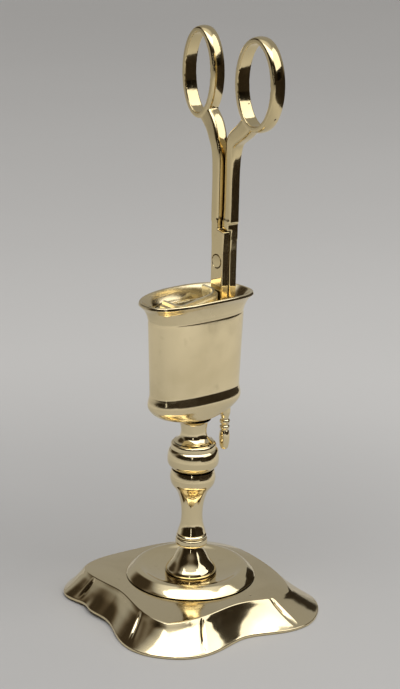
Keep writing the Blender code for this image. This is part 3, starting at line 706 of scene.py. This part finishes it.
def box_shell():
    """Bent wall; its rim thickens inwards, has one step and rises towards the arm."""
    levels = [(BOX_BOTTOM_Z, 0, BOX_WALL, 0), (BOX_TOP_Z - 4.5, 0, BOX_WALL, BOX_TILT),
              (BOX_TOP_Z - 3.1, 0, BOX_LIP, BOX_TILT), (BOX_TOP_Z - 1.4, 0, BOX_LIP, BOX_TILT),
              (BOX_TOP_Z - 1.15, 0.9, BOX_LIP, BOX_TILT), (BOX_TOP_Z, 1.0, BOX_LIP, BOX_TILT)]
    middle = (BOX_LEFT_X + BOX_RIGHT_X) / 2
    rings = [[(x, y, z + tilt * (x - middle)) for x, y in box_outline(outset, inset, BOX_COLLAR_Y)]
             for z, outset, inset, tilt in levels]
    item = loft("box_shell", rings, False)

    def openings(bm):
        low = Vector((BOX_LEFT_X - 5, BOX_MOUTH_Y, BOX_BOTTOM_Z - 5)) * MM
        high = Vector((BOX_RIGHT_X + 5, BOX_COLLAR_Y + 5, BOX_COLLAR_Z)) * MM
        size = Matrix.Diagonal((*(high - low), 1.0))
        bmesh.ops.create_cube(bm, size=1, matrix=Matrix.Translation((low + high) / 2) @ size)
        rivet_y, rivet_zs, radius = BOX_RIVETS
        for z in rivet_zs:
            cylinder_into(bm, "X", radius + HOLE_GAP, BOX_RIGHT_X - 3, BOX_RIGHT_X + 2, (0, rivet_y, z))

    bevelled(cut(item, openings))
    finished(item, "box_body", "sheet_brass", "box_wall")


def end_plate():
    outline = box_outline(0, BOX_WALL, BOX_MOUTH_Y)
    outline = outline[:len(outline) // 2]
    top = BOX_BOTTOM_Z - GAP
    rings = [[(x, y, z) for x, y in outline] for z in (top - BOX_WALL, top)]
    item = bevelled(loft("box_bottom", rings, False))
    finished(item, "box_body", "sheet_brass", "box_end_plate")


def tip():
    """Small turned point with two beads; its tang goes up into the toe of the arm."""
    outer = [(0, TOE_TOP - GAP), (TANG_RADIUS, TOE_TOP - GAP), (TANG_RADIUS, FLOOR_Z)]
    outer += [(1.8, FLOOR_Z), (2.0, FLOOR_Z - 0.15), (2.0, 73.0)]
    outer += spline([(2.0, 72.8), (1.85, 71.9), (1.5, 70.8), (1.5, 70.2), (1.85, 69.6), (1.9, 68.9),
                     (1.5, 68.2), (1.5, 67.8), (1.8, 67.3), (1.8, 66.7), (1.45, 66.1)], 5)
    outer += spline([(1.45, 65.9), (1.75, 65.2), (1.95, 63.6), (1.85, 61.0), (1.4, 59.0),
                     (0.7, TIP_END_Z + 0.2), (0.05, TIP_END_Z)], 6)
    item = turned("tip_point", outer + [(0, TIP_END_Z)], steps=64, centre=(TIP_X, TIP_Y))
    finished(item, "box_body", "turned_brass", "tip_finial")


def pivot():
    """Flush riveted pin, very slightly crowned at both ends."""
    ends = [FRONT_FACE_X - 0.1, REAR_FACE_X + 0.1]
    profile = [(0, ends[0] - 0.12), (1.3, ends[0] - 0.09), (2.2, ends[0] + 0.02),
               (RIVET_RADIUS, ends[0] + 0.65),
               (RIVET_RADIUS, ends[1] - 0.25), (2.2, ends[1] - 0.02), (1.3, ends[1] + 0.09),
               (0, ends[1] + 0.12)]
    item = turned("pivot_pin", profile, steps=96)
    turn = Matrix.Translation((0, 0, PIVOT_Z * MM)) @ Matrix.Rotation(math.pi / 2, 4, "Y")
    item.data.transform(turn)
    finished(item, "box_body", "forged_brass", "pivot_rivet")


def carried_over():
    """CAD nodes whose shape is already right get their material and a bevel."""
    looks = {"press_plate": "sheet_brass", "tie_rod": "steel_rod",
             "rod_washer": "dull_brass", "rod_nut": "steel_rod", "socket_nut": "dull_brass",
             "box_rivet_lower": "dull_brass", "box_rivet_upper": "dull_brass",
             "press_rivet_lower": "dull_brass", "press_rivet_upper": "dull_brass"}
    for name, look in looks.items():
        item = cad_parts[name]
        item.data.materials.clear()
        item.data.materials.append(MATERIALS[look])
        add_bevel(item, 2, 50.0)


# ---- studio ----------------------------------------------------------------------------
VIEW_TURN = Matrix.Rotation(math.radians(-38), 4, "Z")   # from the camera's own axes to the object's


def camera():
    pitch, pan, roll = (math.radians(angle) for angle in (17.67, 0.14, 1.32))
    ahead = Vector((math.sin(pan) * math.cos(pitch), math.cos(pan) * math.cos(pitch), -math.sin(pitch)))
    right = Vector((math.cos(pan), -math.sin(pan), 0))
    up = right.cross(ahead)
    across = right * math.cos(roll) + up * math.sin(roll)
    above = up * math.cos(roll) - right * math.sin(roll)
    turn = Matrix((across, above, -ahead)).transposed().to_4x4()
    data = bpy.data.cameras.new("camera")
    data.sensor_width = 36.0
    data.lens = 96.69
    data.clip_start = 0.01
    item = bpy.data.objects.new("camera", data)
    item.matrix_world = VIEW_TURN @ Matrix.Translation((0, -0.62692, 0.29985)) @ turn
    bpy.context.scene.collection.objects.link(item)
    bpy.context.scene.camera = item


def softbox(name, place, target, size, power):
    """Area light; place and target are in the camera's axes, in metres."""
    data = bpy.data.lights.new(name, "AREA")
    data.shape = "RECTANGLE"
    data.size, data.size_y = size
    data.energy = power
    item = bpy.data.objects.new(name, data)
    start = VIEW_TURN @ Vector(place)
    aim = (VIEW_TURN @ Vector(target)) - start
    item.matrix_world = Matrix.Translation(start) @ aim.to_track_quat("-Z", "Y").to_matrix().to_4x4()
    item.visible_camera = False
    bpy.context.scene.collection.objects.link(item)


def floor():
    """Pale paper, with painted shade that makes it a little darker round the object."""
    bm = bmesh.new()
    bmesh.ops.create_circle(bm, cap_ends=True, segments=96, radius=4.0)
    item = place_mesh("floor", bm)
    material = bpy.data.materials.new("floor_paper")
    graph = Graph(material)
    away = graph.against("DISTANCE", VIEW_TURN @ Vector((-0.03, -0.06, 0)))
    # painted shade: the floor's colour is darker near the object, standing in for the light falling off
    # there
    shaded_paper = graph.mix(graph.ramp(away, 0.13, 0.37), (0.525, 0.518, 0.508), (0.71, 0.70, 0.685))
    cloud = graph.ramp(graph.noise(3.0, 5.0), 0.3, 0.7, 0.0, 0.1)
    graph.link(graph.mix(cloud, shaded_paper, (0.85, 0.84, 0.82)), graph.shader.inputs["Base Color"])
    graph.shader.inputs["Roughness"].default_value = 0.9
    graph.shader.inputs["Specular IOR Level"].default_value = 0.1
    graph.bump(graph.noise(140.0, 5.0), 0.0003, 0.3)
    item.data.materials.append(material)


def surroundings():
    """Room seen in the metal: mid grey behind, with light and dark parts."""
    world = bpy.data.worlds.new("room")
    bpy.context.scene.world = world
    graph = Graph(world, "Background", "Generated")

    def toward(direction, low, high, out_low, out_high):
        """Smooth step on how far a direction of view points along another one."""
        along = graph.against("DOT_PRODUCT", (VIEW_TURN @ Vector(direction)).normalized())
        return graph.ramp(along, low, high, out_low, out_high)

    # almost black on the camera's side, then dark to the right and in a soft patch behind on the left
    level = toward((0, -1, 0), -0.25, 0.35, 0.33, 0.02)
    level = graph.maths("MULTIPLY", level, toward((1, -0.1, 0), 0.77, 0.94, 1.0, 0.12))
    level = graph.maths("MULTIPLY", level, toward((-0.74, 0.38, 0.52), 0.88, 0.975, 1.0, 0.12))
    # the ceiling above is pale
    level = graph.maths("MAXIMUM", level, toward((0, -0.2, 0.98), 0.62, 0.92, 0.0, 0.85))
    graph.link(level, graph.shader.inputs["Strength"])
    # the darker a part is, the browner
    graph.link(graph.mix(graph.maths("MULTIPLY", level, 4.0), (1.0, 0.72, 0.42), (1.0, 0.99, 0.975)),
               graph.shader.inputs["Color"])


def black_flag(name, place, size):
    """Dark card beside the set: it shows only in the metal, as a photographer's flag does."""
    bm = bmesh.new()
    bmesh.ops.create_grid(bm, x_segments=1, y_segments=1, size=0.5)
    bmesh.ops.scale(bm, vec=(*size, 1.0), verts=bm.verts[:])
    item = place_mesh(name, bm)
    stand = Matrix.Rotation(math.pi / 2, 4, "X") @ Matrix.Rotation(math.pi / 2, 4, "Y")
    item.matrix_world = VIEW_TURN @ Matrix.Translation(place) @ stand
    material = bpy.data.materials.new(f"{name}_cloth")
    graph = Graph(material)
    graph.link(graph.mix(graph.noise(30.0), (0.02, 0.013, 0.006), (0.05, 0.032, 0.014)),
               graph.shader.inputs["Base Color"])
    graph.shader.inputs["Roughness"].default_value = 0.9
    item.data.materials.append(material)
    item.visible_camera = False
    item.visible_diffuse = False
    item.visible_shadow = False


def studio():
    floor()
    surroundings()
    black_flag("flag_right", (0.37, 0.10, 0.11), (1.3, 0.22))
    softbox("overhead", (0.0, -0.45, 1.0), (0, 0, 0.05), (1.35, 0.60), 4.7)
    softbox("right_high", (0.88, -0.22, 0.83), (0, 0, 0.05), (0.95, 0.72), 3.5)
    softbox("strip", (-0.10, -1.2, 0.42), (0, 0, 0.1), (0.03, 0.5), 0.2)
    bpy.context.scene.view_settings.view_transform = "Standard"


foot()
turned_stem()
socket()
box_arm()
press_arm()
box_shell()
end_plate()
tip()
pivot()
carried_over()
studio()
camera()
